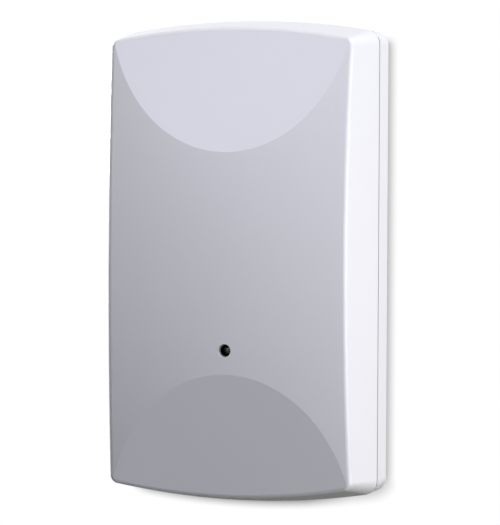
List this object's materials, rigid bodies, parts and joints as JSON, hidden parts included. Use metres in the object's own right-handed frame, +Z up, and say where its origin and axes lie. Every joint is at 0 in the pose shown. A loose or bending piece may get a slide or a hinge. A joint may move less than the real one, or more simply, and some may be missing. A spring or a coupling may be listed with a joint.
{
  "type": "garage door tilt sensor",
  "caption": "Slim white wireless tilt sensor for a garage door: a curved clip-on cover with a status light hole over a screw-mounted base with battery, board and ball switch.",
  "frame": {"origin": "centre of the flat back face, where it meets the door", "axes": "+Y out of the back face, into the door; +Z up along the housing; the front faces -Y"},
  "size_m": [0.0438, 0.0221, 0.0794],
  "materials": {
    "cover_plastic": "fine satin texture, white",
    "base_plastic": "fine satin texture, white",
    "board_laminate": "green solder mask",
    "cell_steel": "nickel plated",
    "cell_wrap": "plain dark wrap",
    "contact_metal": "nickel plated strip",
    "light_lens": "tinted clear epoxy",
    "tinned_lead": "tinned wire",
    "black_moulding": "plain black",
    "tilt_metal": "gold plated",
    "ball_steel": "polished steel",
    "button_plastic": "ivory",
    "chip_epoxy": "moulded epoxy",
    "capacitor_metal": "bare can",
    "chip_ceramic": "tan ceramic",
    "antenna_metal": "copper wire",
    "screw_steel": "zinc plated"
  },
  "bodies": {
    "base": {"back_base": "base_plastic", "circuit_board": "board_laminate", "battery_cell": "cell_steel", "battery_sleeve": "cell_wrap", "positive_contact": "contact_metal", "negative_contact": "contact_metal", "status_light": "light_lens", "light_leads": "tinned_lead", "light_spacer": "black_moulding", "tilt_can": "tilt_metal", "tilt_header": "black_moulding", "tilt_pins": "tinned_lead", "tamper_switch": "black_moulding", "tamper_plate": "contact_metal", "tamper_leads": "tinned_lead", "radio_shield": "contact_metal", "radio_chip": "chip_epoxy", "radio_crystal": "contact_metal", "controller": "chip_epoxy", "controller_leads": "tinned_lead", "clock_crystal": "contact_metal", "capacitor_foot": "black_moulding", "capacitor_can": "capacitor_metal", "regulator": "chip_epoxy", "regulator_leads": "tinned_lead", "resistors": "chip_epoxy", "filter_capacitors": "chip_ceramic", "antenna": "antenna_metal", "board_screws": "screw_steel"},
    "cover": {"front_cover": "cover_plastic"},
    "tamper_button": {"tamper_button": "button_plastic"},
    "tilt_ball": {"tilt_ball": "ball_steel"}
  },
  "joints": [
    {"name": "cover_slide", "type": "slide", "parent": "base", "child": "cover", "axis": [0, -1, 0], "range_m": [0, 0.04]},
    {"name": "tamper_press", "type": "slide", "parent": "base", "child": "tamper_button", "axis": [0, -1, 0], "range_m": [0, 0.0012]},
    {"name": "ball_roll", "type": "slide", "parent": "base", "child": "tilt_ball", "axis": [0, -0.7071, 0.7071], "range_m": [0, 0.0025]}
  ],
  "couplings": [
    {"joint": "tamper_press", "follows": "cover_slide", "ratio": 0.03}
  ]
}
